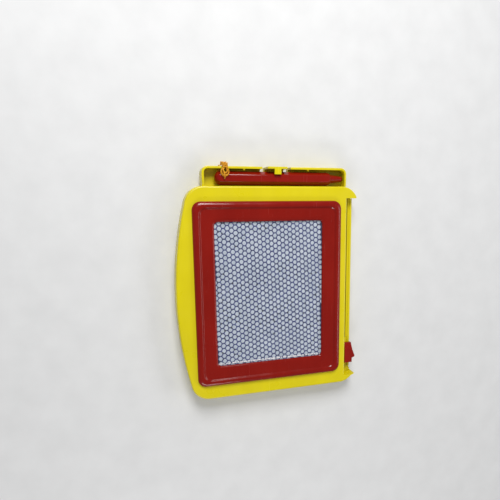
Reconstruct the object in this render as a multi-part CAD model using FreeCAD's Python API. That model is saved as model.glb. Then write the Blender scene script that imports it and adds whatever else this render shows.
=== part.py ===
import FreeCAD, Part
import math
import os

# Small magnetic drawing board, lying on its back.
# Millimetres. Z is up, out of the screen; Z = 0 is the flat back it rests on.
# The origin is under the centre of the screen. +X runs along the board towards
# the pen tray, and +Y towards the arched side; the slider track is on the -Y side.

V = FreeCAD.Vector
PARTS = "parts"

# ---- driving dimensions: casing ----
CASE_X = 69.8            # half length of the casing, without the pen tray
ARCH_Y = 61.7            # top of the arched side
ARCH_R = 245.0           # its radius
ARCH_CORNER_R = 12.0     # where the arch turns into the two ends
SIDE_Y = -55.1           # straight side of the front face, beside the slider track
SPLIT_Z = 5.0            # joint between the two casing halves
FACE_Z = 13.0            # top of the front face
WALL = 1.6
FACE_T = 1.8
EDGE_R = 1.2             # rolled edge round the front face
FIN_START_Y = -51.5      # where the end edges start to sweep out into the corner fins
FIN_R = 12.1             # radius of that sweep
FIN_TIP_Y = -62.5
FIN_NOSE_Y = -61.5       # beside the pen tray the tip is blunt, and rounded from here
FIN_NOSE = ((61.9, -61.6), (62.2, -62.1), (62.8, -62.3), (63.5, -62.0))
LOW_FIN_TURN_X = -64.9   # here the lower fin's sweep flares out to its tip
FIN_X = 61.9             # flat underside of the fin beside the pen tray
LOW_FIN_X = -64.6        # the same on the fin at the other end

# ---- driving dimensions: slider track ----
GROOVE_Y = -58.0         # outer side of the open groove
GROOVE_FLOOR_Z = 4.0
RAIL_Y = -61.0           # outer side of the rail
RAIL_Z = 8.0
RAIL_STEP_Y = -59.4      # the rail is lower on its inner half
RAIL_STEP = 0.6
TRACK_END_X = -60.0
END_BLOCK_Z = 6.0        # step that closes the track beside the lower fin

# ---- driving dimensions: screen ----
SCREEN_X = 47.3          # half size of the visible screen
SCREEN_Y = 36.6
SCREEN_R = 2.5
BEZEL_X = 60.3           # half size of the red frame
BEZEL_Y = 50.2
BEZEL_R = 5.5
PANEL_X = 56.5           # half size of the drawing panel
PANEL_Y = 42.0
PANEL_R = 1.5
PANEL_Z = 10.2           # underside of the drawing panel
FILM_T = 0.3
CORE_T = 2.0
SEAL_W = 3.0
LEDGE_X = 54.6           # half size of the opening under the panel
LEDGE_Y = 38.5
LEDGE_Z = 8.4
POCKET_GAP = 0.3

# ---- driving dimensions: pen tray ----
TRAY_X = 82.1            # outer face of the tray
TRAY_Y0 = -55.3
TRAY_Y1 = 42.9
TRAY_WALL = 1.4
TRAY_R = 4.0
TRAY_RIM_Z = 10.5
TRAY_FLOOR_Z = 3.2
TRAY_FLOOR_T = 1.6
CLIP_Y0 = -12.4          # springy tongue in the outer wall
CLIP_Y1 = 0.8
CLIP_TOP_Z = 13.1
CLIP_WEB_X = 79.0        # solid web under the tongue's root
NOTCH = 3.0              # gap cut each side of the tongue
NOTCH_X = 78.6           # the gaps run this far in across the floor
TAB_Y0 = -8.2            # tab on the tongue, over the pen
TAB_Y1 = -3.6
TAB_TIP_X = 77.2
TAB_T = 1.1
NIB_Y = (15.8, -27.6)    # small wedges on the inside of the outer wall
NIB_TIP_X = 79.6
NIB_W = 2.6
NIB_H = 2.2

# ---- driving dimensions: eraser slider ----
ERASER_X = -48.6         # centre line of the bar when parked
BAR_W = 7.0
BAR_Z0 = 4.2
BAR_Z1 = 7.2
BAR_Y1 = 46.8
MAGNET_W = 6.0
MAGNET_Y = 37.8
MAGNET_Z1 = 10.0
CARRIAGE_L = 21.5
CARRIAGE_Y0 = -57.7
CARRIAGE_Y1 = -55.4
CARRIAGE_Z = 8.25
KNOB_TOP_Z = 12.2
KNOB_DROP = 2.0          # fall of the sloping half of its top

# ---- driving dimensions: pen ----
PEN_X = 74.8
PEN_R = 4.5              # across the corners of the hexagon, halved
PEN_Z = 7.12
PEN_TAIL_Y = 34.6
PEN_NECK_Y = -44.0
PEN_SHOULDER = 3.0       # length over which the barrel narrows towards its neck
PEN_DOME = 3.8           # length of the rounded tail
PEN_END_Y = -53.2
PEN_BORE_R = 2.7
PEN_BORE_L = 61.0
PLUG_L = 9.0             # the tip reaches this far into the barrel
TIP_NECK_R = 2.9
TIP_END_R = 1.8
PEN_MAGNET_R = 1.3
PEN_MAGNET_L = 6.0

# ---- driving dimensions: screws ----
SCREW_SPOTS = ((63.0, 47.2), (-63.0, 47.2), (64.2, 0.0), (-64.2, 0.0), (64.2, -49.5), (-64.2, -49.5))
BOSS_R = 2.8
POST_R = 3.4
POST_Z = 4.5
SHANK_R = 1.1
HEAD_R = 2.4
HEAD_Z0 = 0.9
HEAD_Z1 = 2.6

# ---- driving dimensions: string ----
STRING_D = 0.6
STRING_Y = 31.3          # the string leaves the tray wall here
STRING_Z = 4.3           # height of its hole in the tray wall
PEN_HOLE_X = 74.4
PEN_HOLE_Y = 28.8        # the string goes down into the pen here
TRAY_KNOT_X = 79.5
TRAY_KNOT_R = 1.0
PEN_KNOT_Z = 5.9
PEN_KNOT_R = 1.2
HANK_Y = 28.5            # middle of the hank's width
HANK_W = 6.2
HANK_T = 2.4
HANK_LAYER = 0.9         # outermost layer of string, from the middle of the hank
HANK_IN_X = 76.2         # end of the hank that lies on the pen
HANK_TOP_Z = 12.3        # middle of the hank where it crosses the rim
HANK_OUT_X = 83.7        # middle of the hank outside the wall
HANK_LOW_Z = 6.2
HANK_BEND_R = 2.5


def box(x0, x1, y0, y1, z0, z1):
    return Part.makeBox(x1 - x0, y1 - y0, z1 - z0, V(x0, y0, z0))


def post(x, y, z0, z1, r):
    return Part.makeCylinder(r, z1 - z0, V(x, y, z0), V(0, 0, 1))


def line(a, b):
    return Part.LineSegment(V(*a), V(*b)).toShape()


def arc(a, m, b):
    return Part.Arc(V(*a), V(*m), V(*b)).toShape()


def chain(spots):
    return [line(a, b) for a, b in zip(spots, spots[1:])]


def prism(edges, height):
    """Solid of the outline that the edges make, pushed up by height."""
    return Part.Face(Part.Wire(edges)).extrude(V(0, 0, height))


def polygon(points, z0, z1):
    corners = [V(x, y, z0) for x, y in points]
    return Part.Face(Part.makePolygon(corners + corners[:1])).extrude(V(0, 0, z1 - z0))


def rounded(hx, hy, r, z):
    """Rounded rectangle centred on the screen: the same eight edges at any size."""
    edges = []
    quarters = ((1, 1, 0), (-1, 1, 90), (-1, -1, 180), (1, -1, 270))
    arcs = []
    for sx, sy, start in quarters:
        centre = V(sx * (hx - r), sy * (hy - r), z)
        spots = [centre + V(r * math.cos(t), r * math.sin(t), 0)
                 for t in (math.radians(start + k) for k in (0, 45, 90))]
        arcs.append(spots)
    for n, spots in enumerate(arcs):
        edges.append(Part.Arc(*spots).toShape())
        edges.append(Part.LineSegment(spots[2], arcs[(n + 1) % 4][0]).toShape())
    return Part.Wire(edges)


def plate(hx, hy, r, z0, z1):
    return Part.Face(rounded(hx, hy, r, z0)).extrude(V(0, 0, z1 - z0))


def arch_edges(inset, z):
    """The arched side with its two corners, from the +X end to the -X end."""
    cy = ARCH_Y - ARCH_R
    r = ARCH_CORNER_R
    corner_x = CASE_X - r
    reach = ARCH_R - r
    corner_y = cy + math.sqrt(reach ** 2 - corner_x ** 2)
    lean = math.asin(corner_x / reach)
    r -= inset
    big = ARCH_R - inset

    def on_corner(side, t):
        return (side * (corner_x + r * math.cos(t)), corner_y + r * math.sin(t), z)

    top = math.pi / 2 - lean
    right = [on_corner(1, t) for t in (0, top / 2, top)]
    left = [on_corner(-1, t) for t in (top, top / 2, 0)]
    return [arc(*right), arc(right[2], (0, cy + big, z), left[0]), arc(*left)], right[0], left[2]


def body_prism(inset, z0, z1):
    """The casing without fins or track: the shape of the room inside it."""
    edges, start, end = arch_edges(inset, z0)
    x = CASE_X - inset
    y = SIDE_Y + inset
    edges += [line(end, (-x, y, z0)), line((-x, y, z0), (x, y, z0)), line((x, y, z0), start)]
    return prism(edges, z1 - z0)


def casing_prism(side_path, z0, z1):
    """Casing outline with both corner fins; side_path runs between the fins."""
    edges, start, end = arch_edges(0, z0)
    sweep_x = CASE_X - FIN_R

    def on_sweep(side, t):
        return (side * (sweep_x + FIN_R * math.cos(t)), FIN_START_Y - FIN_R * math.sin(t), z0)

    low_turn = math.acos((-LOW_FIN_TURN_X - sweep_x) / FIN_R)
    top_turn = math.asin((FIN_START_Y - FIN_NOSE_Y) / FIN_R)
    low = [on_sweep(-1, low_turn * k) for k in (0, 0.5, 1)]
    top = [on_sweep(1, top_turn * k) for k in (1, 0.5, 0)]
    tip = [(-64.1, -62.9, z0), (-63.6, FIN_TIP_Y, z0)]
    path = [low[2]] + tip + [(x, y, z0) for x, y in tuple(side_path) + FIN_NOSE] + [top[0]]
    edges += [line(end, low[0]), arc(*low)] + chain(path)
    edges += [arc(*top), line(top[2], start)]
    return prism(edges, z1 - z0)


def roll_edges(solid, radius, wanted):
    """Fillet the edges that wanted(edge) picks."""
    return solid.makeFillet(radius, [e for e in solid.Edges if wanted(e)])


def roll_chain(solid, radius, wanted):
    """Fillet one edge that wanted(edge) picks, with all that run smoothly on from it."""
    return solid.makeFillet(radius, [e for e in solid.Edges if wanted(e)][:1])


def is_flat_at(edge, z):
    box_ = edge.BoundBox
    return abs(box_.ZMin - z) < 1e-4 and abs(box_.ZMax - z) < 1e-4


def front_casing():
    inner_path = [(LOW_FIN_X, -59.2), (LOW_FIN_X, SIDE_Y), (FIN_X, SIDE_Y)]
    shell = casing_prism(inner_path, SPLIT_Z, FACE_Z)
    shell = roll_chain(shell, EDGE_R, lambda e: is_flat_at(e, FACE_Z) and e.CenterOfMass.y > 55)
    shell = roll_chain(shell, EDGE_R, lambda e: is_flat_at(e, FACE_Z) and abs(e.CenterOfMass.y - SIDE_Y) < 0.01)
    shell = shell.cut(body_prism(WALL, SPLIT_Z, FACE_Z - FACE_T))
    pocket_x = PANEL_X + POCKET_GAP
    pocket_y = PANEL_Y + POCKET_GAP
    well = plate(pocket_x + WALL, pocket_y + WALL, PANEL_R + WALL, LEDGE_Z, FACE_Z - FACE_T)
    shell = shell.fuse(well)
    for x, y in SCREW_SPOTS:
        shell = shell.fuse(post(x, y, POST_Z, FACE_Z - FACE_T, BOSS_R))
    shell = shell.cut(plate(pocket_x, pocket_y, PANEL_R, PANEL_Z, FACE_Z))
    shell = shell.cut(plate(LEDGE_X, LEDGE_Y, PANEL_R, LEDGE_Z, FACE_Z))
    shell = shell.cut(box(TRACK_END_X, FIN_X - 0.2, SIDE_Y - 1, SIDE_Y + WALL, SPLIT_Z, 7.6))
    for x, y in SCREW_SPOTS:
        shell = shell.cut(post(x, y, POST_Z, FACE_Z - FACE_T - 0.4, SHANK_R))
    return shell.removeSplitter()


def slider_track():
    """Rail and groove floor that the eraser's carriage runs on."""
    rail_end = FIN_X - 0.2
    rail = box(TRACK_END_X + 0.4, rail_end, RAIL_Y, GROOVE_Y, SPLIT_Z, RAIL_Z)
    rail = rail.cut(box(TRACK_END_X, FIN_X, RAIL_STEP_Y, GROOVE_Y, RAIL_Z - RAIL_STEP, RAIL_Z))
    outer_edge = [e for e in rail.Edges if abs(e.CenterOfMass.y - RAIL_Y) < 0.01
                  and abs(e.CenterOfMass.z - RAIL_Z) < 0.01]
    rail = rail.makeFillet(0.5, outer_edge)
    block_x = TRACK_END_X + 0.4
    end_block = polygon(((LOW_FIN_X, SIDE_Y), (block_x, SIDE_Y), (block_x, RAIL_Y), (-63.4, -62.4),
                         (LOW_FIN_X, -59.2)), SPLIT_Z, END_BLOCK_Z)
    return rail.fuse(end_block)


def pen_tray():
    """Open trough with thin walls, a raised floor and a hollow underneath."""
    mid_x = (CASE_X + TRAY_X) / 2
    mid_y = (TRAY_Y0 + TRAY_Y1) / 2

    def trough(inset, r, z0, z1):
        hx = (TRAY_X - CASE_X) / 2 + 5 - inset
        hy = (TRAY_Y1 - TRAY_Y0) / 2 - inset
        solid = plate(hx, hy, r, z0, z1)
        solid.translate(V(mid_x - 5, mid_y, 0))
        return solid.cut(box(CASE_X - 20, CASE_X, TRAY_Y0 - 5, TRAY_Y1 + 5, z0 - 1, z1 + 1))

    tray = trough(0, TRAY_R, 0, TRAY_RIM_Z)
    tray = roll_edges(tray, 0.5, lambda e: is_flat_at(e, TRAY_RIM_Z) and e.CenterOfMass.x > CASE_X + 0.1)
    hollow = trough(TRAY_WALL, TRAY_R - TRAY_WALL, TRAY_FLOOR_Z, TRAY_RIM_Z + 1)
    hollow = roll_edges(hollow, 1.0, lambda e: is_flat_at(e, TRAY_FLOOR_Z) and e.CenterOfMass.x > CASE_X + 0.1)
    tray = tray.cut(hollow)
    under = box(CASE_X, TRAY_X - TRAY_WALL, TRAY_Y0 + TRAY_WALL, TRAY_Y1 - TRAY_WALL,
                0, TRAY_FLOOR_Z - TRAY_FLOOR_T)
    under = under.cut(box(CLIP_WEB_X, TRAY_X, CLIP_Y0, CLIP_Y1, 0, TRAY_FLOOR_Z))
    tray = tray.cut(under)
    for y0, y1 in ((CLIP_Y1, CLIP_Y1 + NOTCH), (CLIP_Y0 - NOTCH, CLIP_Y0)):
        tray = tray.cut(box(NOTCH_X, TRAY_X + 1, y0, y1, -1, TRAY_RIM_Z + 1))
    seat_z = TRAY_FLOOR_Z - TRAY_FLOOR_T
    tray = tray.cut(box(TRAY_X - TRAY_WALL, TRAY_X + 1, CLIP_Y0, CLIP_Y1, seat_z, TRAY_RIM_Z + 1))
    wall_x = TRAY_X - TRAY_WALL
    for y in NIB_Y:
        nib = polygon(((wall_x + 0.4, y - NIB_W / 2), (wall_x + 0.4, y + NIB_W / 2), (NIB_TIP_X, y)),
                      TRAY_RIM_Z - 0.5 - NIB_H, TRAY_RIM_Z - 0.5)
        tray = tray.fuse(nib)
    hole = Part.makeCylinder(STRING_D / 2 + 0.2, TRAY_WALL + 2, V(wall_x - 1, STRING_Y, STRING_Z), V(1, 0, 0))
    return tray.cut(hole)


def back_casing():
    outer_path = [(TRACK_END_X + 0.4, RAIL_Y), (FIN_X, RAIL_Y)]
    pan = casing_prism(outer_path, 0, SPLIT_Z)
    pan = pan.cut(body_prism(WALL, WALL, SPLIT_Z))
    pan = pan.cut(box(TRACK_END_X, FIN_X - 0.2, GROOVE_Y, SIDE_Y + WALL + 0.1, GROOVE_FLOOR_Z, SPLIT_Z))
    for y in (-22.0, 22.0):
        pan = pan.fuse(box(-56, 57.5, y - 0.6, y + 0.6, WALL, GROOVE_FLOOR_Z))
    pan = pan.fuse(box(-56, 57.5, BAR_Y1 + 0.4, BAR_Y1 + 1.6, WALL, 6.4))
    pan = pan.fuse(slider_track())
    pan = pan.fuse(pen_tray())
    for x, y in SCREW_SPOTS:
        pan = pan.fuse(post(x, y, WALL / 2, POST_Z, POST_R))
        pan = pan.cut(post(x, y, -1, HEAD_Z1, HEAD_R + 0.3))
        pan = pan.cut(post(x, y, HEAD_Z1 - 0.5, POST_Z + 1, SHANK_R + 0.2))
    return pan.removeSplitter()


def tray_clip():
    wall_x = TRAY_X - TRAY_WALL
    tongue = box(wall_x, TRAY_X, CLIP_Y0, CLIP_Y1, TRAY_FLOOR_Z - TRAY_FLOOR_T, CLIP_TOP_Z)
    tab = box(TAB_TIP_X, wall_x + 0.5, TAB_Y0, TAB_Y1, CLIP_TOP_Z - TAB_T, CLIP_TOP_Z)
    clip = tongue.fuse(tab).removeSplitter()
    return roll_edges(clip, 0.35, lambda e: is_flat_at(e, CLIP_TOP_Z))


def bezel_stack(insets_and_heights):
    """Solid through rounded rectangles, each inset from the bezel's outline."""
    wires = []
    for inset, z in insets_and_heights:
        share = inset / (BEZEL_X - SCREEN_X)
        radius = BEZEL_R + (SCREEN_R - BEZEL_R) * min(share, 1)
        hy = BEZEL_Y - (BEZEL_Y - SCREEN_Y) * share
        wires.append(rounded(BEZEL_X - inset, hy, radius, z))
    return Part.makeLoft(wires, True, True)


def screen_bezel():
    depth = BEZEL_X - SCREEN_X
    outside = bezel_stack(((0, FACE_Z), (0, 13.9), (0.3, 14.5), (1.0, 15.1), (2.0, 15.5), (3.2, 15.7)))
    scoop = bezel_stack(((depth, 11.0), (depth, 12.3), (depth - 0.5, 13.2), (depth - 1.8, 14.2),
                         (depth - 2.6, 14.5), (5.4, 14.9), (4.2, 15.3), (3.2, 15.7), (3.2, 16.7)))
    film_top = PANEL_Z + CORE_T + 2 * FILM_T
    skirt = plate(PANEL_X, PANEL_Y, PANEL_R, film_top, FACE_Z)
    return outside.fuse(skirt).cut(scoop).removeSplitter()


def panel_pieces():
    back_z = PANEL_Z + FILM_T
    front_z = back_z + CORE_T
    core_x = PANEL_X - SEAL_W
    core_y = PANEL_Y - SEAL_W
    core = plate(core_x, core_y, PANEL_R, back_z, front_z)
    return {
        "panel_back_film": plate(PANEL_X, PANEL_Y, PANEL_R, PANEL_Z, back_z),
        "honeycomb_core": core,
        "panel_edge_seal": plate(PANEL_X, PANEL_Y, PANEL_R, back_z, front_z).cut(core),
        "screen_film": plate(PANEL_X, PANEL_Y, PANEL_R, front_z, front_z + FILM_T),
    }


def eraser_bar():
    beam = box(ERASER_X - BAR_W / 2, ERASER_X + BAR_W / 2, CARRIAGE_Y0, BAR_Y1, BAR_Z0, BAR_Z1)
    half = CARRIAGE_L / 2
    carriage = box(ERASER_X - half, ERASER_X + half, CARRIAGE_Y0, CARRIAGE_Y1, BAR_Z0, CARRIAGE_Z)
    return beam.fuse(carriage).fuse(knob_key(0)).removeSplitter()


def knob_key(gap):
    """Upright key on the carriage that the knob is pushed onto."""
    return box(ERASER_X - 4, ERASER_X + 4, CARRIAGE_Y0 + 0.5 - gap, CARRIAGE_Y1 - 0.5 + gap,
               CARRIAGE_Z - 0.5, CARRIAGE_Z + 2.2)


def eraser_magnet():
    return box(ERASER_X - MAGNET_W / 2, ERASER_X + MAGNET_W / 2, -MAGNET_Y, MAGNET_Y, BAR_Z1, MAGNET_Z1)


def slider_knob():
    near = ERASER_X + 7.4
    far = ERASER_X - 7.2
    plan = ((near, -55.5), (far, -55.5), (far, -61.4), (-52.6, -61.4), (-51.7, -63.5),
            (-50.7, -63.5), (-45.9, -61.6), (near, -61.2))
    knob = polygon(plan, CARRIAGE_Z, KNOB_TOP_Z)
    crease = ERASER_X + 3.0
    ramp = Part.makePolygon([V(crease, -70, KNOB_TOP_Z), V(near + 1, -70, KNOB_TOP_Z),
                             V(near + 1, -70, KNOB_TOP_Z - KNOB_DROP), V(crease, -70, KNOB_TOP_Z)])
    knob = knob.cut(Part.Face(ramp).extrude(V(0, 20, 0)))
    knob = knob.makeFillet(0.5, [e for e in knob.Edges if e.BoundBox.ZMin > CARRIAGE_Z + 1])
    return knob.cut(knob_key(0.05))


def turned(edges):
    """Solid turned about the pen's axis; the edges give radius along X and place along Y."""
    solid = Part.Face(Part.Wire(edges)).revolve(V(0, 0, 0), V(0, 1, 0), 360)
    solid.translate(V(PEN_X, 0, PEN_Z))
    return solid


def barrel_limit():
    """Rounded tail, straight middle and narrowing neck that the hexagon is held inside."""
    full = PEN_R
    dome_y = PEN_TAIL_Y - PEN_DOME
    slant = math.sqrt(0.5)
    corner = (full * slant, dome_y + PEN_DOME * slant, 0)
    edges = [arc((0, PEN_TAIL_Y, 0), corner, (full, dome_y, 0))]
    edges += chain([(full, dome_y, 0), (full, PEN_NECK_Y + PEN_SHOULDER, 0),
                    (full - 0.8, PEN_NECK_Y + 0.5, 0), (full - 1.3, PEN_NECK_Y, 0),
                    (0, PEN_NECK_Y, 0), (0, PEN_TAIL_Y, 0)])
    return turned(edges)


def pen_barrel():
    corners = [V(PEN_X + PEN_R * math.cos(math.radians(60 * n)), PEN_TAIL_Y,
                 PEN_Z + PEN_R * math.sin(math.radians(60 * n))) for n in range(6)]
    length = PEN_TAIL_Y - PEN_NECK_Y
    barrel = Part.Face(Part.makePolygon(corners + corners[:1])).extrude(V(0, -length, 0))
    barrel = barrel.makeFillet(0.7, [e for e in barrel.Edges if e.Length > 20])
    barrel = barrel.common(barrel_limit())
    bore = Part.makeCylinder(PEN_BORE_R, PEN_BORE_L, V(PEN_X, PEN_NECK_Y, PEN_Z), V(0, 1, 0))
    barrel = barrel.cut(bore)
    barrel = barrel.cut(post(PEN_HOLE_X, PEN_HOLE_Y, PEN_Z - PEN_R, PEN_Z + PEN_R, STRING_D / 2 + 0.2))
    return barrel.cut(post(PEN_HOLE_X, PEN_HOLE_Y, PEN_Z - PEN_R, PEN_Z, PEN_KNOT_R + 0.4))


def pen_tip():
    plug_y = PEN_NECK_Y + PLUG_L
    spots = [(0, plug_y, 0), (PEN_BORE_R, plug_y, 0), (PEN_BORE_R, PEN_NECK_Y, 0), (TIP_NECK_R, PEN_NECK_Y, 0),
             (TIP_END_R, PEN_END_Y + 0.5, 0), (TIP_END_R - 0.35, PEN_END_Y, 0), (0, PEN_END_Y, 0)]
    return turned(chain(spots + spots[:1])).cut(pen_magnet())


def pen_magnet():
    return Part.makeCylinder(PEN_MAGNET_R, PEN_MAGNET_L, V(PEN_X, PEN_END_Y, PEN_Z), V(0, 1, 0))


def casing_screws():
    screws = []
    for x, y in SCREW_SPOTS:
        screw = post(x, y, HEAD_Z0, HEAD_Z1, HEAD_R).fuse(post(x, y, HEAD_Z1 - 0.1, 10.0, SHANK_R))
        for turn in (0, 90):
            slot = box(x - 1.5, x + 1.5, y - 0.3, y + 0.3, HEAD_Z0, HEAD_Z0 + 0.9)
            slot.rotate(V(x, y, 0), V(0, 0, 1), turn)
            screw = screw.cut(slot)
        screws.append(screw.removeSplitter())
    return Part.makeCompound(screws)


def string_tube(name, points):
    """Round tube along straight runs joined by tangent arcs."""
    spots = [V(*p) for p in points]
    edges = []
    here = spots[0]
    for before, corner, after in zip(spots, spots[1:], spots[2:]):
        along = (corner - before).normalize()
        onward = (after - corner).normalize()
        half = along.getAngle(onward) / 2
        setback = 0.45 * min((corner - before).Length, (after - corner).Length)
        radius = setback / math.tan(half)
        print(f"{name}: radius {radius:.2f} mm = {radius / STRING_D:.1f} diameters")
        start = corner - along * setback
        end = corner + onward * setback
        inward = (onward - along).normalize()
        middle = corner + inward * (radius / math.cos(half) - radius)
        edges.append(Part.LineSegment(here, start).toShape())
        edges.append(Part.Arc(start, middle, end).toShape())
        here = end
    edges.append(Part.LineSegment(here, spots[-1]).toShape())
    path = Part.Wire(edges)
    ring = Part.Wire(Part.makeCircle(STRING_D / 2, spots[0], spots[1] - spots[0]))
    tube = path.makePipeShell([ring], True, True)
    expected = path.Length * math.pi * STRING_D ** 2 / 4
    print(f"{name}: length {path.Length:.2f} mm, volume {tube.Volume:.3f} of {expected:.3f} mm3")
    return tube


def string_lead_tray():
    """From the knot through the tray wall, then up into the hank's inner layer."""
    x = HANK_OUT_X - HANK_LAYER
    return string_tube("string_lead_tray", (
        (80.45, STRING_Y, STRING_Z), (x, STRING_Y, STRING_Z), (x, STRING_Y, HANK_LOW_Z)))


def string_lead_pen():
    """From the hank's outer layer down through the pen to its knot."""
    z = HANK_TOP_Z + HANK_LAYER
    return string_tube("string_lead_pen", (
        (HANK_IN_X, PEN_HOLE_Y, z), (PEN_HOLE_X, PEN_HOLE_Y, z), (PEN_HOLE_X, PEN_HOLE_Y, 6.9)))


def string_hank():
    """Outer shape of the tied string, bent over the rim of the tray."""
    bend_x = HANK_OUT_X - HANK_BEND_R
    bend_z = HANK_TOP_Z - HANK_BEND_R
    y = HANK_Y - HANK_W / 2
    outer = HANK_BEND_R + HANK_T / 2
    inner = HANK_BEND_R - HANK_T / 2
    slant = math.sqrt(0.5)

    def side(radius):
        return [(HANK_IN_X, y, bend_z + radius), (bend_x, y, bend_z + radius),
                (bend_x + radius * slant, y, bend_z + radius * slant),
                (bend_x + radius, y, bend_z), (bend_x + radius, y, HANK_LOW_Z)]

    far, near = side(outer), side(inner)
    edges = [line(far[0], far[1]), arc(*far[1:4]), line(far[3], far[4]), line(far[4], near[4]),
             line(near[4], near[3]), arc(*near[3:0:-1]), line(near[1], near[0]), line(near[0], far[0])]
    return Part.Face(Part.Wire(edges)).extrude(V(0, HANK_W, 0))


def knot(x, y, z, r):
    """Flattened ball of a tied overhand knot."""
    ball = Part.makeSphere(r, V(x, y, z))
    return ball.common(box(x - r, x + r, y - r, y + r, z - 0.8 * r, z + 0.8 * r))


def build():
    nodes = {
        "front_casing": front_casing(),
        "back_casing": back_casing(),
        "tray_clip": tray_clip(),
        "screen_bezel": screen_bezel(),
        "eraser_bar": eraser_bar(),
        "eraser_magnet": eraser_magnet(),
        "slider_knob": slider_knob(),
        "casing_screws": casing_screws(),
        "pen_barrel": pen_barrel(),
        "pen_tip": pen_tip(),
        "pen_magnet": pen_magnet(),
        "string_knot_tray": knot(TRAY_KNOT_X, STRING_Y, STRING_Z, TRAY_KNOT_R),
        "string_lead_tray": string_lead_tray(),
        "string_hank": string_hank(),
        "string_lead_pen": string_lead_pen(),
        "string_knot_pen": knot(PEN_HOLE_X, PEN_HOLE_Y, PEN_KNOT_Z, PEN_KNOT_R),
    }
    nodes.update(panel_pieces())
    os.makedirs(PARTS, exist_ok=True)
    for name, shape in nodes.items():
        shape.exportStep(f"{PARTS}/{name}.step")
        print(f"{name}: {len(shape.Solids)} solid(s), {shape.Volume:.1f} mm3, valid {shape.isValid()}")


build()
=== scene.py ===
import math
import random

import bmesh
import bpy
from mathutils import Matrix, Quaternion, Vector, noise


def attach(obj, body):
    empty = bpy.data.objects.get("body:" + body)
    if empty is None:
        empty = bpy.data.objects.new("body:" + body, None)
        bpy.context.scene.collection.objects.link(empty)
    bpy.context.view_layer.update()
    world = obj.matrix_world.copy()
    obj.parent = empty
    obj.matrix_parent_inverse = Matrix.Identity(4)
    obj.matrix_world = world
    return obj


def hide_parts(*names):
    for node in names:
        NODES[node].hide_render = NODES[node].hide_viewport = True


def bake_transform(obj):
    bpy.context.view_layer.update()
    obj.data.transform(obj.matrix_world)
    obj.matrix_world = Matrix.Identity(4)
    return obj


# Looks of a small magnetic drawing board: yellow casing, red screen frame, honeycomb
# screen, eraser slider, and a tray with a tethered pen. Lengths are in millimetres, in
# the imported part's frame, and times MM they are in metres.
MM = 0.001

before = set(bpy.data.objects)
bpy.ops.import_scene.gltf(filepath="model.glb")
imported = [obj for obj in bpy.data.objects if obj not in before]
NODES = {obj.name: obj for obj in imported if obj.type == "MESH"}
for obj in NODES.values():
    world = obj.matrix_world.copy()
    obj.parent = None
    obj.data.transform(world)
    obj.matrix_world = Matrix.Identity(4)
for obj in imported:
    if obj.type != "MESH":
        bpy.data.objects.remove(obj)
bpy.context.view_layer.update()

# Vector noise starts from a random offset in every session unless it is seeded.
NOISE_SEED = 17
noise.seed_set(NOISE_SEED)

# ---------------------------------------------------------------- camera, light, floor

CAMERA_AT = Vector((57.8, 81.5, 297.0)) * MM
CAMERA_AIM = Vector((8.0, -6.9, 12.0)) * MM
CAMERA_ROLL = math.radians(0.42)
LENS_MM = 32.4
SHIFT = 0.06


def make_camera():
    """The camera looks down on the board, with +X up in the picture."""
    forward = (CAMERA_AIM - CAMERA_AT).normalized()
    up = (Vector((1, 0, 0)) - forward * forward.x).normalized()
    up.rotate(Quaternion(forward, CAMERA_ROLL))
    right = forward.cross(up)
    data = bpy.data.cameras.new("camera")
    data.lens = LENS_MM
    data.sensor_width = 36.0
    data.shift_x = -SHIFT
    data.shift_y = SHIFT
    data.clip_start = 0.01
    data.clip_end = 20.0
    camera = bpy.data.objects.new("camera", data)
    turned = Matrix((right, up, -forward)).transposed().to_4x4()
    camera.matrix_world = Matrix.Translation(CAMERA_AT) @ turned
    bpy.context.scene.collection.objects.link(camera)
    bpy.context.scene.camera = camera


def area_light(name, place, aim, width, depth, power, colour=(1, 1, 1)):
    data = bpy.data.lights.new(name, "AREA")
    data.shape = "RECTANGLE"
    data.size = width
    data.size_y = depth
    data.energy = power
    data.color = colour
    lamp = bpy.data.objects.new(name, data)
    lamp.location = place
    lamp.rotation_mode = "QUATERNION"
    lamp.rotation_quaternion = (Vector(aim) - Vector(place)).to_track_quat("-Z", "Y")
    bpy.context.scene.collection.objects.link(lamp)


def make_stage():
    """Pale floor at Z = 0 with soft studio light, brightest from the tray's end."""
    bpy.context.scene.view_settings.view_transform = "Standard"
    bpy.ops.mesh.primitive_plane_add(size=6.0, location=(0, 0, 0))
    floor = bpy.context.object
    floor.name = "floor"
    mat, nt, shader = new_material("floor_paper")
    grain = noise_at(nt, 60.0, 4)
    colour = ramp(nt, grain, ((0.3, (0.66, 0.66, 0.66)), (0.7, (0.70, 0.70, 0.70))))
    nt.links.new(colour, shader.inputs["Base Color"])
    shader.inputs["Roughness"].default_value = 0.8
    floor.data.materials.append(mat)
    world = bpy.data.worlds.new("studio")
    bpy.context.scene.world = world
    world.use_nodes = True
    background = world.node_tree.nodes["Background"]
    background.inputs["Color"].default_value = (0.98, 0.99, 1.0, 1)
    background.inputs["Strength"].default_value = 0.23
    area_light("key", (0.50, 0.06, 0.46), (0, 0, 0.01), 0.26, 0.30, 4.3)
    area_light("side", (-0.05, -0.60, 0.42), (0, 0, 0.01), 0.5, 0.2, 1.2)
    area_light("back_fill", (-0.52, 0.10, 0.33), (0, 0, 0.01), 0.34, 0.10, 1.3)


# ---------------------------------------------------------------- material helpers


def new_material(name):
    mat = bpy.data.materials.new(name)
    mat.use_nodes = True
    return mat, mat.node_tree, mat.node_tree.nodes["Principled BSDF"]


def place_of(nt):
    """Coordinates fixed to the object, in metres."""
    found = [n for n in nt.nodes if n.bl_idname == "ShaderNodeTexCoord"]
    node = found[0] if found else nt.nodes.new("ShaderNodeTexCoord")
    return node.outputs["Object"]


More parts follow.
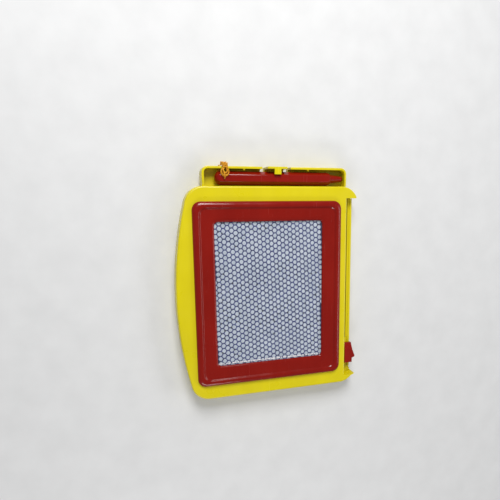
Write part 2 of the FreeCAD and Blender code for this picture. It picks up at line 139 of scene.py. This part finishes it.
def noise_at(nt, scale, detail=2.0, stretch=(1, 1, 1)):
    mapping = nt.nodes.new("ShaderNodeMapping")
    mapping.inputs["Scale"].default_value = stretch
    nt.links.new(place_of(nt), mapping.inputs["Vector"])
    node = nt.nodes.new("ShaderNodeTexNoise")
    node.inputs["Scale"].default_value = scale
    node.inputs["Detail"].default_value = detail
    nt.links.new(mapping.outputs["Vector"], node.inputs["Vector"])
    return node.outputs["Fac"]


def ramp(nt, fac, stops):
    node = nt.nodes.new("ShaderNodeValToRGB")
    elements = node.color_ramp.elements
    while len(elements) < len(stops):
        elements.new(0.5)
    for element, (place, colour) in zip(elements, stops):
        element.position = place
        element.color = (*colour, 1)
    nt.links.new(fac, node.inputs["Fac"])
    return node.outputs["Color"]


def span(nt, fac, low, high, from_low=0.3, from_high=0.7):
    """A grey value between low and high, from a noise value."""
    node = nt.nodes.new("ShaderNodeMapRange")
    node.inputs["From Min"].default_value = from_low
    node.inputs["From Max"].default_value = from_high
    node.inputs["To Min"].default_value = low
    node.inputs["To Max"].default_value = high
    nt.links.new(fac, node.inputs["Value"])
    return node.outputs["Result"]


def mix(nt, fac, a, b, blend="MIX"):
    node = nt.nodes.new("ShaderNodeMix")
    node.data_type = "RGBA"
    node.blend_type = blend
    for socket, value in ((node.inputs["Factor"], fac), (node.inputs["A"], a), (node.inputs["B"], b)):
        if isinstance(value, bpy.types.NodeSocket):
            nt.links.new(value, socket)
        elif isinstance(value, tuple):
            socket.default_value = (*value, 1)
        else:
            socket.default_value = value
    return node.outputs["Result"]


def bump(nt, shader, height, strength, distance):
    """Adds a bump on top of any bump that the shader has already."""
    node = nt.nodes.new("ShaderNodeBump")
    node.inputs["Strength"].default_value = strength
    node.inputs["Distance"].default_value = distance
    nt.links.new(height, node.inputs["Height"])
    if shader.inputs["Normal"].is_linked:
        nt.links.new(shader.inputs["Normal"].links[0].from_socket, node.inputs["Normal"])
    nt.links.new(node.outputs["Normal"], shader.inputs["Normal"])


def plastic(name, light, dark, rough, peel=0.05, scuffs=0.5, shine=0.5):
    """Injection-moulded plastic: faint flow marks, orange peel, hairline scuffs and dust."""
    mat, nt, shader = new_material(name)
    flow = noise_at(nt, 35.0, 3, stretch=(1, 2.2, 1))
    body = ramp(nt, flow, ((0.32, dark), (0.68, light)))
    speck = noise_at(nt, 2600.0, 1)
    dust = span(nt, speck, 0, 0.5, 0.73, 0.80)
    body = mix(nt, dust, body, tuple(0.8 * c + 0.08 for c in light))
    hair = noise_at(nt, 900.0, 2, stretch=(0.05, 1, 1))
    scratch = span(nt, hair, 0, 1, 0.66, 0.72)
    faint = mix(nt, scuffs * 0.25, (0, 0, 0), scratch)
    body = mix(nt, faint, body, tuple(min(1, c * 1.25 + 0.03) for c in light))
    nt.links.new(body, shader.inputs["Base Color"])
    gloss = span(nt, noise_at(nt, 70.0, 4), rough - 0.05, rough + 0.09)
    worn = nt.nodes.new("ShaderNodeMath")
    worn.operation = "MULTIPLY_ADD"
    worn.inputs[1].default_value = 0.18 * scuffs
    nt.links.new(scratch, worn.inputs[0])
    nt.links.new(gloss, worn.inputs[2])
    nt.links.new(worn.outputs[0], shader.inputs["Roughness"])
    bump(nt, shader, noise_at(nt, 420.0, 2), peel, 0.0004)
    bump(nt, shader, scratch, 0.04, 0.00005)
    shader.inputs["IOR"].default_value = 1.5
    shader.inputs["Specular IOR Level"].default_value = shine
    return mat


def yellow_plastic():
    return plastic("yellow_casing", (0.68, 0.575, 0.0012), (0.635, 0.53, 0.001), 0.30, peel=0.06)


def red_plastic(name="red_frame", gain=1.0):
    light = (0.235 * gain, 0.006 * gain, 0.002 * gain)
    dark = (0.20 * gain, 0.004 * gain, 0.001 * gain)
    return plastic(name, light, dark, 0.17, peel=0.04, shine=0.36)


def clear_film():
    """Thin clear film over the cells: nearly all light goes through it."""
    mat, nt, shader = new_material("clear_film")
    haze = noise_at(nt, 45.0, 3)
    tint = ramp(nt, haze, ((0.3, (0.78, 0.83, 0.92)), (0.7, (0.88, 0.91, 0.97))))
    nt.links.new(tint, shader.inputs["Base Color"])
    nt.links.new(span(nt, noise_at(nt, 240.0, 2), 0.10, 0.24), shader.inputs["Roughness"])
    bump(nt, shader, noise_at(nt, 330.0, 1), 0.05, 0.0003)
    shader.inputs["Alpha"].default_value = 0.03
    shader.inputs["IOR"].default_value = 1.49
    return mat


def cell_wall():
    """Translucent bluish plastic of the honeycomb's walls."""
    mat, nt, shader = new_material("cell_wall")
    tone = noise_at(nt, 150.0, 3)
    tint = ramp(nt, tone, ((0.3, (0.008, 0.014, 0.115)), (0.7, (0.022, 0.034, 0.20))))
    nt.links.new(tint, shader.inputs["Base Color"])
    nt.links.new(span(nt, noise_at(nt, 500.0, 2), 0.25, 0.45), shader.inputs["Roughness"])
    bump(nt, shader, noise_at(nt, 1500.0, 2), 0.1, 0.0001)
    return mat


def cell_fluid():
    """Milky fluid with a grey cloud of iron powder, a little different in each cell."""
    mat, nt, shader = new_material("cell_fluid")
    tone = nt.nodes.new("ShaderNodeAttribute")
    tone.attribute_name = "cell_tone"
    body = ramp(nt, tone.outputs["Fac"], ((0.0, (0.33, 0.38, 0.46)), (1.0, (0.56, 0.605, 0.67))))
    cloud = span(nt, noise_at(nt, 900.0, 3), 0, 0.35)
    body = mix(nt, cloud, body, (0.26, 0.33, 0.36))
    nt.links.new(body, shader.inputs["Base Color"])
    nt.links.new(span(nt, noise_at(nt, 700.0, 2), 0.22, 0.40), shader.inputs["Roughness"])
    bump(nt, shader, noise_at(nt, 1800.0, 2), 0.12, 0.0001)
    return mat


def plain(name, light, dark, rough, scale, bump_strength, metal=0.0):
    """Uneven surface of one colour: film, rubber, adhesive or metal."""
    mat, nt, shader = new_material(name)
    body = ramp(nt, noise_at(nt, scale, 4), ((0.3, dark), (0.7, light)))
    nt.links.new(body, shader.inputs["Base Color"])
    gloss = span(nt, noise_at(nt, scale * 3, 3), rough - 0.08, rough + 0.12)
    nt.links.new(gloss, shader.inputs["Roughness"])
    bump(nt, shader, noise_at(nt, scale * 6, 2), bump_strength, 0.0001)
    shader.inputs["Metallic"].default_value = metal
    return mat


def string_fibre():
    """Twisted golden-orange string with fine fibres along its strands."""
    mat, nt, shader = new_material("string")
    fibre = noise_at(nt, 3800.0, 2)
    stops = ((0.3, (0.30, 0.09, 0.002)), (0.5, (0.78, 0.33, 0.006)), (0.66, (1.0, 0.58, 0.03)))
    body = ramp(nt, fibre, stops)
    nt.links.new(body, shader.inputs["Base Color"])
    nt.links.new(span(nt, fibre, 0.38, 0.6), shader.inputs["Roughness"])
    bump(nt, shader, fibre, 0.35, 0.00008)
    shader.inputs["Sheen Weight"].default_value = 0.08
    shader.inputs["Specular IOR Level"].default_value = 0.3
    return mat


# ---------------------------------------------------------------- mesh helpers


def new_piece(name, verts, faces, material, body, smooth=True):
    """Mesh in metres, from points in millimetres, with its faces turned outwards."""
    mesh = bpy.data.meshes.new(name)
    mesh.from_pydata([Vector(v) * MM for v in verts], [], faces)
    bm = bmesh.new()
    bm.from_mesh(mesh)
    bmesh.ops.remove_doubles(bm, verts=bm.verts, dist=2e-6)
    bmesh.ops.recalc_face_normals(bm, faces=bm.faces)
    bm.to_mesh(mesh)
    bm.free()
    piece = bpy.data.objects.new(name, mesh)
    bpy.context.scene.collection.objects.link(piece)
    mesh.materials.append(material)
    mesh.polygons.foreach_set("use_smooth", [smooth] * len(mesh.polygons))
    if body:
        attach(piece, body)
    return piece


def loft(rings, closed_along=False, caps=False):
    """Faces between rings of equally many points; returns all points and faces."""
    count = len(rings[0])
    verts = [p for ring in rings for p in ring]
    faces = []
    last = len(rings) if closed_along else len(rings) - 1
    for k in range(last):
        here, there = k * count, (k + 1) % len(rings) * count
        for n in range(count):
            m = (n + 1) % count
            faces.append((here + n, here + m, there + m, there + n))
    if caps:
        faces.append(tuple(range(count)))
        faces.append(tuple(len(verts) - count + n for n in range(count)))
    return verts, faces


def soften(points, rounds=2):
    """Rounds the corners of an open profile by cutting them, keeping its two ends."""
    for _ in range(rounds):
        cut = [points[0]]
        for a, b in zip(points, points[1:]):
            cut.append(tuple(0.75 * p + 0.25 * q for p, q in zip(a, b)))
            cut.append(tuple(0.25 * p + 0.75 * q for p, q in zip(a, b)))
        points = cut + [points[-1]]
    return points


def rounded_ring(hx, hy, r, z, arc_steps=10, side_steps=8):
    """Points round a rectangle with rounded corners, the same number at any size."""
    ring = []
    quarters = ((1, 1, 0), (-1, 1, 90), (-1, -1, 180), (1, -1, 270))
    corners = []
    for sx, sy, start in quarters:
        angles = [math.radians(start + 90 * k / arc_steps) for k in range(arc_steps + 1)]
        cx, cy = sx * (hx - r), sy * (hy - r)
        corners.append([(cx + r * math.cos(a), cy + r * math.sin(a), z) for a in angles])
    for n, corner in enumerate(corners):
        ring += corner
        onward = corners[(n + 1) % 4][0]
        for k in range(1, side_steps):
            share = k / side_steps
            ring.append(tuple(p + share * (q - p) for p, q in zip(corner[-1], onward)))
    return ring


def prism_faces(start, sides):
    """Faces of a closed prism whose two rings of points follow each other from start."""
    faces = []
    for n in range(sides):
        m = (n + 1) % sides
        faces.append((start + n, start + m, start + sides + m, start + sides + n))
    faces.append(tuple(start + sides + n for n in range(sides)))
    faces.append(tuple(start + n for n in range(sides)))
    return faces


def tube(points, radius, sides=10, twist_mm=0.0, groove=0.0):
    """Tube along points, with strands that twist once every twist_mm."""
    points = [Vector(p) for p in points]
    tangents = [(b - a).normalized() for a, b in zip(points, points[1:])]
    tangents.append(tangents[-1])
    normal = tangents[0].orthogonal().normalized()
    rings, run = [], 0.0
    for k, (point, tangent) in enumerate(zip(points, tangents)):
        if k:
            run += (point - points[k - 1]).length
            normal = (normal - tangent * normal.dot(tangent)).normalized()
        side = tangent.cross(normal)
        phase = 2 * math.pi * run / twist_mm if twist_mm else 0.0
        ring = []
        for n in range(sides):
            angle = 2 * math.pi * n / sides
            r = radius * (1 + groove * math.cos(3 * (angle - phase)))
            ring.append(point + (normal * math.cos(angle) + side * math.sin(angle)) * r)
        rings.append(ring)
    return loft(rings, caps=True)


def dress(node, material, bevel=0.0):
    """Gives a CAD node its material, and a fine rounded edge where it has sharp ones."""
    piece = NODES[node]
    piece.data.materials.clear()
    piece.data.materials.append(material)
    weld = piece.modifiers.new("weld", "WELD")
    weld.merge_threshold = 2e-6
    if bevel:
        flat = piece.modifiers.new("flat", "DECIMATE")
        flat.decimate_type = "DISSOLVE"
        flat.angle_limit = math.radians(0.5)
        edge = piece.modifiers.new("edge", "BEVEL")
        edge.width = bevel * MM
        edge.segments = 2
        edge.limit_method = "ANGLE"
        edge.angle_limit = math.radians(40)
        edge.harden_normals = True
        edge.use_clamp_overlap = True
    return piece


# ---------------------------------------------------------------- string

STRING_D = 0.6
STRING_Y = 31.3
STRING_Z = 4.3
STRING_SIDES, STRING_TWIST, STRING_GROOVE = 10, 1.4, 0.1
WALL_HOLE_X = 81.4                   # inside the hole in the tray's outer wall
TRAY_KNOT_X = 79.5
PEN_HOLE_X = 74.4
PEN_KNOT_Z = 5.9
HANK_Y = 28.5
HANK_IN_X = 76.2
HANK_TOP_Z = 12.3
HANK_OUT_X = 83.7
HANK_LOW_Z = 6.2
HANK_BEND_R = 2.5
FOLD_OUTER, FOLD_INNER = 2.8, 1.6    # fold radii of the two kinds of loop
SLOT_OUTER, SLOT_INNER = 0.9, 0.3    # where their strands lie under the tie
LAYERS = (-0.9, -0.3, 0.3, 0.9)
WAIST_S = 5.9                        # the tie, along the hank from its end on the pen
WAIST_REACH = 2.3
WAIST_RISE = 0.3                     # the bundle lies a little clear of the rim
HANG_NARROW = 0.2                    # the loops that hang outside are narrower
LAYER_STAGGER = 0.3                  # each layer's loops are shorter than the one below
OVERHANG = 0.4
INNER_SHORT = 1.3                    # the inner loops are shorter than the outer ones
LOOSENESS = 0.12
STRAIGHT_SHARES = (0.86, 0.68, 0.5, 0.32, 0.14)
FOLD_STEPS = 6
FOLD_DEPTH = 1.05
TIE_WRAPS = 3
WRAP_STEPS = 24
WRAP_SQUARE = 0.75                   # under 1, the wraps are squarer than an ellipse
KNOT_STEPS = 72
KNOT_TUBE_R = STRING_D * 0.52
TREFOIL_REACH = 3.4                  # size of the knot's line before it is scaled
PEN_HOLE_Y = 28.8
FLAT_L = HANK_OUT_X - HANK_BEND_R - HANK_IN_X
BEND_L = HANK_BEND_R * math.pi / 2
HANK_L = FLAT_L + BEND_L + HANK_TOP_Z - HANK_BEND_R - HANK_LOW_Z


def on_hank(s, y, t):
    """Point at s along the hank's middle line, y across it and t out from it."""
    y += HANK_Y
    centre_x, centre_z = HANK_OUT_X - HANK_BEND_R, HANK_TOP_Z - HANK_BEND_R
    if s < FLAT_L:
        return (HANK_IN_X + s, y, HANK_TOP_Z + t)
    if s < FLAT_L + BEND_L:
        angle = (s - FLAT_L) / HANK_BEND_R
        r = HANK_BEND_R + t
        return (centre_x + r * math.sin(angle), y, centre_z + r * math.cos(angle))
    return (HANK_OUT_X + t, y, centre_z - (s - FLAT_L - BEND_L))


def on_strand(s, y, t, squeeze):
    """Point on one strand: the tie draws all of them together into a round bundle."""
    pull = math.exp(-((s - WAIST_S) / WAIST_REACH) ** 2)
    hang = HANG_NARROW * min(max((s - WAIST_S) / 3, 0), 1)
    across = y * (1 - pull * (1 - squeeze)) * (1 - hang * (1 - pull))
    return on_hank(s, across, t + WAIST_RISE * pull)


def string_route():
    """The string from its knot in the tray, through seven turns of the hank, to the pen."""
    outer, inner = (FOLD_OUTER, SLOT_OUTER), (FOLD_INNER, SLOT_INNER)
    slots = [(outer, 0), (inner, 0), (inner, 1), (outer, 1),
             (outer, 2), (inner, 2), (inner, 3), (outer, 3)]
    first_x = HANK_OUT_X + LAYERS[0]
    route = [(TRAY_KNOT_X, STRING_Y, STRING_Z), (WALL_HOLE_X, STRING_Y, STRING_Z),
             (first_x, STRING_Y, STRING_Z), (first_x, STRING_Y - 0.2, HANK_LOW_Z - 0.3)]
    loose = random.Random(5)
    for k, ((radius, slot), layer) in enumerate(slots):
        t = LAYERS[layer]
        squeeze = slot / radius
        inner_short = INNER_SHORT if radius == FOLD_INNER else 0
        short = LAYER_STAGGER * layer - OVERHANG + inner_short + loose.uniform(0, LOOSENESS)
        top = short + radius
        low = HANK_L - short - radius
        for share in STRAIGHT_SHARES:
            route.append(on_strand(top + (low - top) * share, radius, t, squeeze))
        if k == len(slots) - 1:
            break
        for n in range(FOLD_STEPS + 1):
            angle = math.pi * n / FOLD_STEPS
            s = top - radius * math.sin(angle) * FOLD_DEPTH
            route.append(on_strand(s, radius * math.cos(angle), t, squeeze))
        for share in reversed(STRAIGHT_SHARES):
            route.append(on_strand(top + (low - top) * share, -radius, t, squeeze))
        (after, next_slot), next_layer = slots[k + 1]
        mean = (radius + after) / 2
        middle = (after - radius) / 2
        for n in range(FOLD_STEPS + 1):
            angle = math.pi * n / FOLD_STEPS
            turned = 0.5 - 0.5 * math.cos(angle)
            lift = t + (LAYERS[next_layer] - t) * turned
            squeeze = (slot + (next_slot - slot) * turned) / mean
            s = low + mean * math.sin(angle) * FOLD_DEPTH
            route.append(on_strand(s, middle - mean * math.cos(angle), lift, squeeze))
    over_z = HANK_TOP_Z + LAYERS[-1] + STRING_D
    route += [(HANK_IN_X + 2.2, HANK_Y + 0.9, over_z), (HANK_IN_X + 0.6, HANK_Y + 0.5, over_z),
              (PEN_HOLE_X, PEN_HOLE_Y, over_z - 0.3), (PEN_HOLE_X, PEN_HOLE_Y, 9.5),
              (PEN_HOLE_X, PEN_HOLE_Y, PEN_KNOT_Z)]
    return route


def nurbs_points(name, route):
    """Points along the smooth line whose control points are the route, in metres."""
    curve = bpy.data.curves.new(name, "CURVE")
    curve.dimensions = "3D"
    curve.resolution_u = 5
    spline = curve.splines.new("NURBS")
    spline.points.add(len(route) - 1)
    for point, place in zip(spline.points, route):
        point.co = (*(Vector(place) * MM), 1)
    spline.order_u = 3
    spline.use_endpoint_u = True
    line = bpy.data.objects.new(name, curve)
    mesh = bpy.data.meshes.new_from_object(line)
    points = [v.co.copy() for v in mesh.vertices]
    bpy.data.objects.remove(line)
    bpy.data.meshes.remove(mesh)
    return points


def string_tube(points, radius=STRING_D / 2):
    """Tube with the string's twisted strands."""
    return tube(points, radius, STRING_SIDES, STRING_TWIST, STRING_GROOVE)


def trefoil(name, centre, radius, axis, material, body, node):
    """Small tight knot: a string along a trefoil, with the string's own thickness."""
    turn = Vector((0, 0, 1)).rotation_difference(Vector(axis))
    points = []
    for n in range(KNOT_STEPS + 1):
        a = 2 * math.pi * n / KNOT_STEPS
        spot = Vector((math.sin(a) + 2 * math.sin(2 * a),
                       math.cos(a) - 2 * math.cos(2 * a),
                       -1.4 * math.sin(3 * a)))
        points.append(Vector(centre) + turn @ (spot * (radius / TREFOIL_REACH)))
    verts, faces = string_tube(points, KNOT_TUBE_R)
    knot = new_piece(name, verts, faces, material, body)
    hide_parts(node)
    return knot


def hank_tie(material):
    """Wraps of string that hold the hank at its waist."""
    half = LAYERS[-1] + STRING_D
    points = []
    for n in range(TIE_WRAPS * WRAP_STEPS + 1):
        a = 2 * math.pi * n / WRAP_STEPS
        ca, sa = math.cos(a), math.sin(a)
        y = half * math.copysign(abs(ca) ** WRAP_SQUARE, ca)
        t = half * math.copysign(abs(sa) ** WRAP_SQUARE, sa) + WAIST_RISE
        points.append(on_hank(WAIST_S + (n / WRAP_STEPS - TIE_WRAPS / 2) * STRING_D, y, t))
    verts, faces = string_tube(points)
    return new_piece("hank_tie", verts, faces, material, "pen")


def make_string():
    material = string_fibre()
    path = nurbs_points("string_line", string_route())
    verts, faces = string_tube([p / MM for p in path])
    string = new_piece("pen_string", verts, faces, material, None)
    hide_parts("string_lead_tray", "string_hank", "string_lead_pen")
    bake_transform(string)
    tray_knot = trefoil("tray_knot", (TRAY_KNOT_X, STRING_Y, STRING_Z), 1.0, (1, 0, 0), material,
                        "root", "string_knot_tray")
    pen_knot = trefoil("pen_knot", (PEN_HOLE_X, PEN_HOLE_Y, PEN_KNOT_Z), 1.15, (0, 0, 1), material,
                       "pen", "string_knot_pen")
    tie = hank_tie(material)


# ---------------------------------------------------------------- screen and its frame

BEZEL_X, BEZEL_Y, BEZEL_R = 60.3, 50.2, 5.5
SCREEN_X, SCREEN_Y, SCREEN_R = 47.3, 36.6, 2.5
FACE_Z = 13.0
FILM_TOP_Z = 12.8
SKIRT_X, SKIRT_Y, SKIRT_R = 56.4, 41.9, 1.5
BEZEL_WIDTH = 13.0
OVER_FILM_Z = FILM_TOP_Z + 0.04      # the lip ends just clear of the film
OVER_FACE_Z = FACE_Z + 0.02          # the frame stands just clear of the casing


def bezel_ring(inset, z):
    share = min(inset / (BEZEL_X - SCREEN_X), 1)
    radius = BEZEL_R + (SCREEN_R - BEZEL_R) * share
    return rounded_ring(BEZEL_X - inset, BEZEL_Y - (BEZEL_Y - SCREEN_Y) * share, radius, z)


def make_bezel(material):
    """Red frame: a bevelled outer bank, a narrow ridge, a wide sunken face and a rolled lip."""
    crown = soften([(0.0, 13.2), (0.0, 13.9), (0.35, 14.6), (1.1, 15.25), (2.1, 15.65),
                    (3.0, 15.7), (3.8, 15.5), (4.3, 15.0), (4.8, 14.6), (5.6, 14.5),
                    (10.4, 14.35), (11.2, 14.25), (12.2, 14.0), (12.8, 13.6),
                    (BEZEL_WIDTH, 13.1)])
    rings = [bezel_ring(inset, z) for inset, z in crown]
    rings.append(bezel_ring(BEZEL_WIDTH, OVER_FILM_Z))
    rings += [rounded_ring(SKIRT_X, SKIRT_Y, SKIRT_R, z) for z in (OVER_FILM_Z, OVER_FACE_Z)]
    rings += [bezel_ring(inset, z) for inset, z in ((0.4, OVER_FACE_Z), (0.12, FACE_Z + 0.06))]
    verts, faces = loft(rings, closed_along=True)
    bezel = new_piece("bezel", verts, faces, material, "root")
    mark_sharp(bezel, 50)
    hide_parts("screen_bezel")


def mark_sharp(piece, degrees):
    """Smooth shading, with creases where faces meet at more than this angle."""
    mesh = piece.data
    bm = bmesh.new()
    bm.from_mesh(mesh)
    limit = math.radians(degrees)
    for edge in bm.edges:
        edge.smooth = len(edge.link_faces) != 2 or edge.calc_face_angle() < limit
    bm.to_mesh(mesh)
    bm.free()


CELL_PITCH = 3.43                    # along a column of cells
COLUMN_STEP = 2.615                  # from one column to the next
CELL_TILT = math.radians(2.6)
CORE_X, CORE_Y = 53.5, 39.0
CELL_TOP_Z = 12.45
CELL_FLOOR_Z = 11.4
CORE_LOW_Z = 10.55
WALL_HALF = 0.25
ROUND_TO = 1.52
CELL_SIDES = 12
ROWS, COLUMNS = 22, 20               # either side of the middle, more than the core holds
FLUID_PROFILE = ((CELL_FLOOR_Z, 1.0), (12.0, 1.0), (12.28, 0.94), (12.37, 0.80), (12.34, 0.40))
FLUID_MIDDLE_Z = 12.26
# Middle of the painted highlight strip, just inside the screen's edge at -X.
GLINT_LINE_X = 1.15 - SCREEN_X
SPECK_SIDES = 7


def cell_centres():
    along = Vector((math.cos(CELL_TILT), math.sin(CELL_TILT)))
    across = Vector((-along.y, along.x))
    spots = []
    for j in range(-COLUMNS, COLUMNS + 1):
        for i in range(-ROWS, ROWS + 1):
            spot = along * CELL_PITCH * (i + 0.5 * (j % 2)) + across * COLUMN_STEP * j
            if abs(spot.x) < CORE_X - 1.8 and abs(spot.y) < CORE_Y - 1.9:
                spots.append(spot)
    return spots


def wobble(x, y):
    """The cells' corners wander a little, so that no two cells are quite alike."""
    shift = noise.noise_vector(Vector((x * 0.45, y * 0.45, 3.7)))
    return Vector((x + shift.x * 0.16, y + shift.y * 0.16))


def cell_edge(angle):
    """Distance from a cell's centre to the middle of its wall, in the direction angle."""
    half = CELL_PITCH / 2
    flank = Vector((half / 2, COLUMN_STEP / 2))
    ways = ((Vector((1, 0)), half), (flank.normalized(), flank.length))
    c, s = abs(math.cos(angle)), abs(math.sin(angle))
    return min(reach / max(n.x * c + n.y * s, 1e-6) for n, reach in ways)


def cell_ring(spot, z, inset, share=1.0, round_to=ROUND_TO):
    ring = []
    for n in range(CELL_SIDES):
        angle = 2 * math.pi * n / CELL_SIDES
        r = cell_edge(angle)
        if inset:
            r = min(r - inset, round_to)
        r *= share
        x = spot.x + r * math.cos(angle + CELL_TILT)
        y = spot.y + r * math.sin(angle + CELL_TILT)
        place = wobble(x, y)
        ring.append((place.x, place.y, z))
    return ring


def make_cells():
    """The honeycomb's walls on a dark base, and the milky fluid standing in each cell."""
    spots = cell_centres()
    base = [rounded_ring(CORE_X, CORE_Y, 1.5, z) for z in (CORE_LOW_Z, CELL_FLOOR_Z)]
    verts, faces = loft(base, caps=True)
    for spot in spots:
        rings = [cell_ring(spot, CELL_TOP_Z - 0.06, 0), cell_ring(spot, CELL_TOP_Z, WALL_HALF * 0.6),
                 cell_ring(spot, CELL_TOP_Z - 0.12, WALL_HALF), cell_ring(spot, CELL_FLOOR_Z, WALL_HALF)]
        points, sides = loft(rings)
        faces += [tuple(i + len(verts) for i in face) for face in sides]
        verts += points
    walls = new_piece("honeycomb_walls", verts, faces, cell_wall(), "root")
    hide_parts("honeycomb_core")

    tones = random.Random(11)
    verts, faces, tone = [], [], []
    for spot in spots:
        start = len(verts)
        rings = [cell_ring(spot, z, WALL_HALF + 0.02, share) for z, share in FLUID_PROFILE]
        points, sides = loft(rings)
        faces += [tuple(i + start for i in face) for face in sides]
        verts += points
        centre = wobble(spot.x, spot.y)
        verts.append((centre.x, centre.y, FLUID_MIDDLE_Z))
        inner = start + (len(rings) - 1) * CELL_SIDES
        middle = len(verts) - 1
        faces += [(inner + n, inner + (n + 1) % CELL_SIDES, middle) for n in range(CELL_SIDES)]
        shade = 0.5 + 0.5 * noise.noise(Vector((spot.x * 0.05, spot.y * 0.05, 9.1)))
        tone += [0.35 + 0.4 * shade + tones.uniform(-0.22, 0.22)] * (len(verts) - start)
    mesh = bpy.data.meshes.new("cell_fluid")
    mesh.from_pydata([Vector(v) * MM for v in verts], [], faces)
    layer = mesh.attributes.new("cell_tone", "FLOAT", "POINT")
    layer.data.foreach_set("value", tone)
    mesh.polygons.foreach_set("use_smooth", [True] * len(mesh.polygons))
    mesh.materials.append(cell_fluid())
    fluid = bpy.data.objects.new("cell_fluid", mesh)
    bpy.context.scene.collection.objects.link(fluid)
    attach(fluid, "root")
    return spots


def make_glint_highlight():
    """Ragged white strip of painted highlight along one side of the screen: the glint of light on the
    film's rolled edge.
    """
    pick = random.Random(31)
    verts, faces = [], []
    y = -SCREEN_Y + 0.6
    while y < SCREEN_Y - 0.8:
        run = pick.uniform(0.9, 3.4)
        wide = pick.uniform(0.7, 1.1)
        x = GLINT_LINE_X + pick.uniform(-0.15, 0.15)
        near, far = x - wide / 2, x + wide / 2
        outline = [(near, y), (far, y + 0.25), (far, y + run - 0.3), (near, y + run)]
        faces += prism_faces(len(verts), len(outline))
        verts += [(px, py, CELL_TOP_Z - 0.02) for px, py in outline]
        verts += [(px + (x - px) * 0.4, py, CELL_TOP_Z + 0.035) for px, py in outline]
        y += run + pick.uniform(0.12, 0.9)
    # Near-white colour: painted highlight standing in for the glint on the film's edge.
    material = plain("glint_highlight_paint", (1.0, 0.97, 0.97), (0.72, 0.69, 0.72), 0.25, 400, 0.2)
    new_piece("screen_glint_highlight", verts, faces, material, "root", smooth=False)


def make_dark_specks(spots):
    """Dark specks at the corners of some cells: grains of iron powder, and painted shade where the walls
    meet.
    """
    pick = random.Random(23)
    verts, faces = [], []
    speck_spots = []
    for spot in spots:
        amount = noise.noise(Vector((spot.x * 0.04, spot.y * 0.04, 5.3))) + pick.uniform(-0.4, 0.4)
        if amount > 0.12:
            speck_spots.append(spot)
    for spot in speck_spots:
        angle = math.radians(pick.choice((30, 90, 150, 210, 270, 330)) + pick.uniform(-12, 12))
        r = cell_edge(angle) * 0.96
        way = angle + CELL_TILT
        centre = wobble(spot.x + r * math.cos(way), spot.y + r * math.sin(way))
        size = pick.uniform(0.30, 0.85)
        faces += prism_faces(len(verts), SPECK_SIDES)
        for z, share in ((CELL_TOP_Z - 0.03, 1.0), (CELL_TOP_Z + 0.04, 0.85)):
            for n in range(SPECK_SIDES):
                a = 2 * math.pi * n / SPECK_SIDES
                grain = size * share * (0.8 + 0.35 * math.sin(3 * a + size * 40))
                verts.append((centre.x + grain * math.cos(a), centre.y + grain * math.sin(a), z))
    # Near-black specks: iron powder grains, and painted shade at the cell corners.
    material = plain("speck_powder_and_shade", (0.020, 0.022, 0.035), (0.008, 0.008, 0.014), 0.6, 800, 0.3)
    new_piece("dark_specks_and_shade", verts, faces, material, "root", smooth=False)


# ---------------------------------------------------------------- build


def make_carried_over(yellow, red_knob, red_pen):
    """CAD nodes whose shape is right as it is get their materials here."""
    dress("front_casing", yellow, 0.22)
    dress("back_casing", yellow, 0.22)
    dress("tray_clip", yellow, 0.15)
    dress("slider_knob", red_knob, 0.15)
    dress("pen_barrel", red_pen)
    dress("pen_tip", red_pen)
    dress("screen_film", clear_film())
    back_film = plain("back_film", (0.86, 0.86, 0.85), (0.78, 0.78, 0.78), 0.45, 60, 0.05)
    dress("panel_back_film", back_film)
    dress("panel_edge_seal", plain("seal", (0.80, 0.82, 0.84), (0.66, 0.69, 0.73), 0.4, 90, 0.1))
    dress("eraser_bar", yellow, 0.15)
    magnet = plain("magnet", (0.035, 0.035, 0.038), (0.018, 0.018, 0.02), 0.55, 300, 0.2)
    dress("eraser_magnet", magnet, 0.15)
    dress("pen_magnet", magnet, 0.1)
    steel = plain("screw_steel", (0.66, 0.66, 0.68), (0.45, 0.45, 0.47), 0.32, 700, 0.15, metal=1.0)
    dress("casing_screws", steel, 0.1)


make_camera()
make_stage()
make_string()
make_bezel(red_plastic())
make_dark_specks(make_cells())
make_glint_highlight()
make_carried_over(yellow_plastic(), red_plastic("red_knob", 1.1), red_plastic("red_pen", 1.05))
